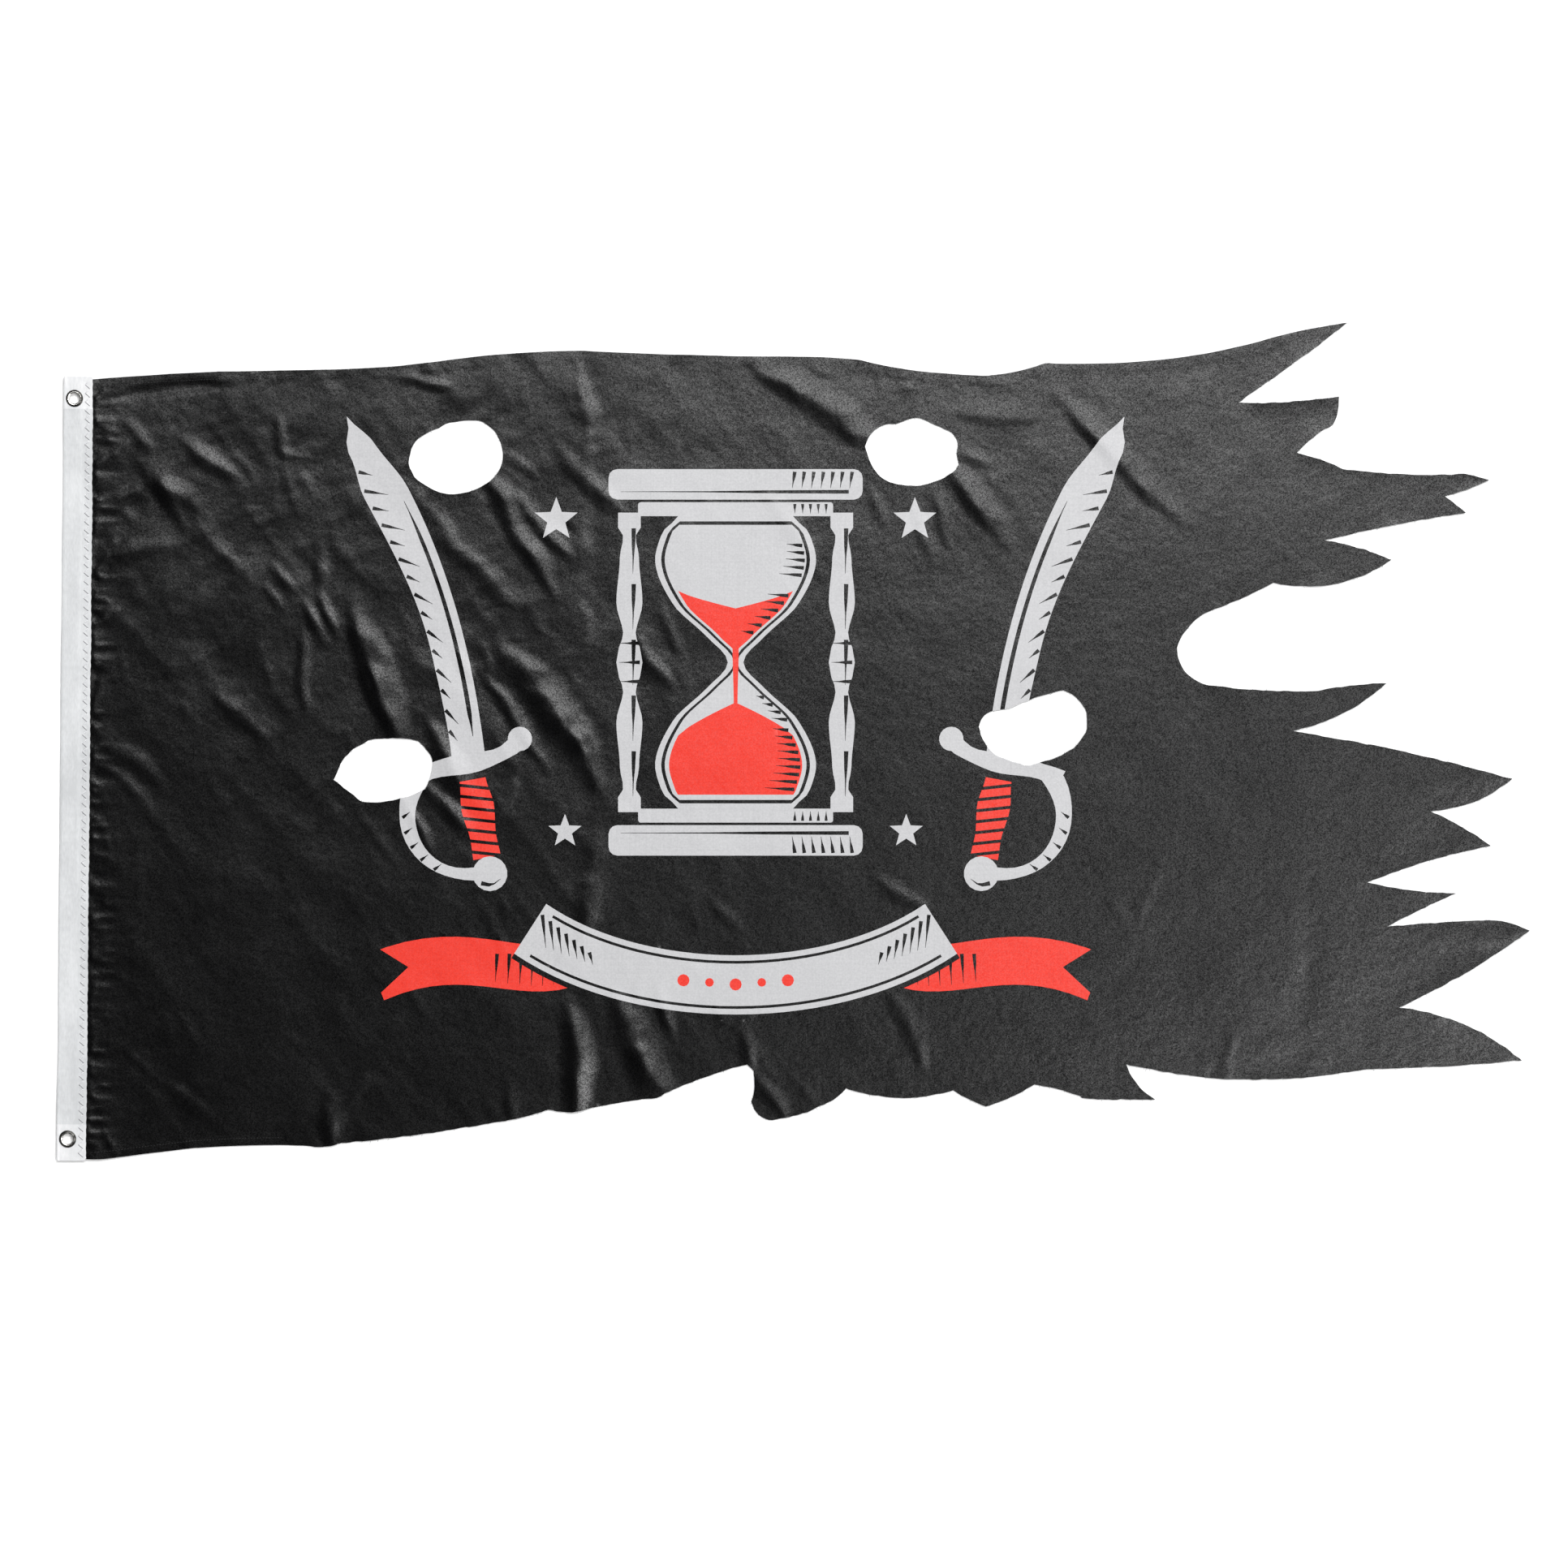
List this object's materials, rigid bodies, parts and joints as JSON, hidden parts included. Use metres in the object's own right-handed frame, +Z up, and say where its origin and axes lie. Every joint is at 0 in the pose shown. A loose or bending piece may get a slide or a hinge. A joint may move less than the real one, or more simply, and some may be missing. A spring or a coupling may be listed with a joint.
{
  "type": "tattered flag",
  "caption": "Worn black flag laid flat, with torn fly tongues, holes worn through, a white folded heading and metal eyelets, for hoisting or hanging.",
  "frame": {"origin": "middle of the flag's outline on the surface it lies on", "axes": "+X along the fly, away from the heading; +Y up the hoist to the flag's top; +Z up, out of the face"},
  "size_m": [1.692, 0.9623, 0.0097],
  "materials": {
    "black_polyester": "matte",
    "white_tape": "matte",
    "nickel": "polished"
  },
  "bodies": {
    "root": {"flag_cloth": "black_polyester", "heading_tape": "white_tape", "eyelet_upper": "nickel", "eyelet_lower": "nickel"}
  },
  "joints": []
}
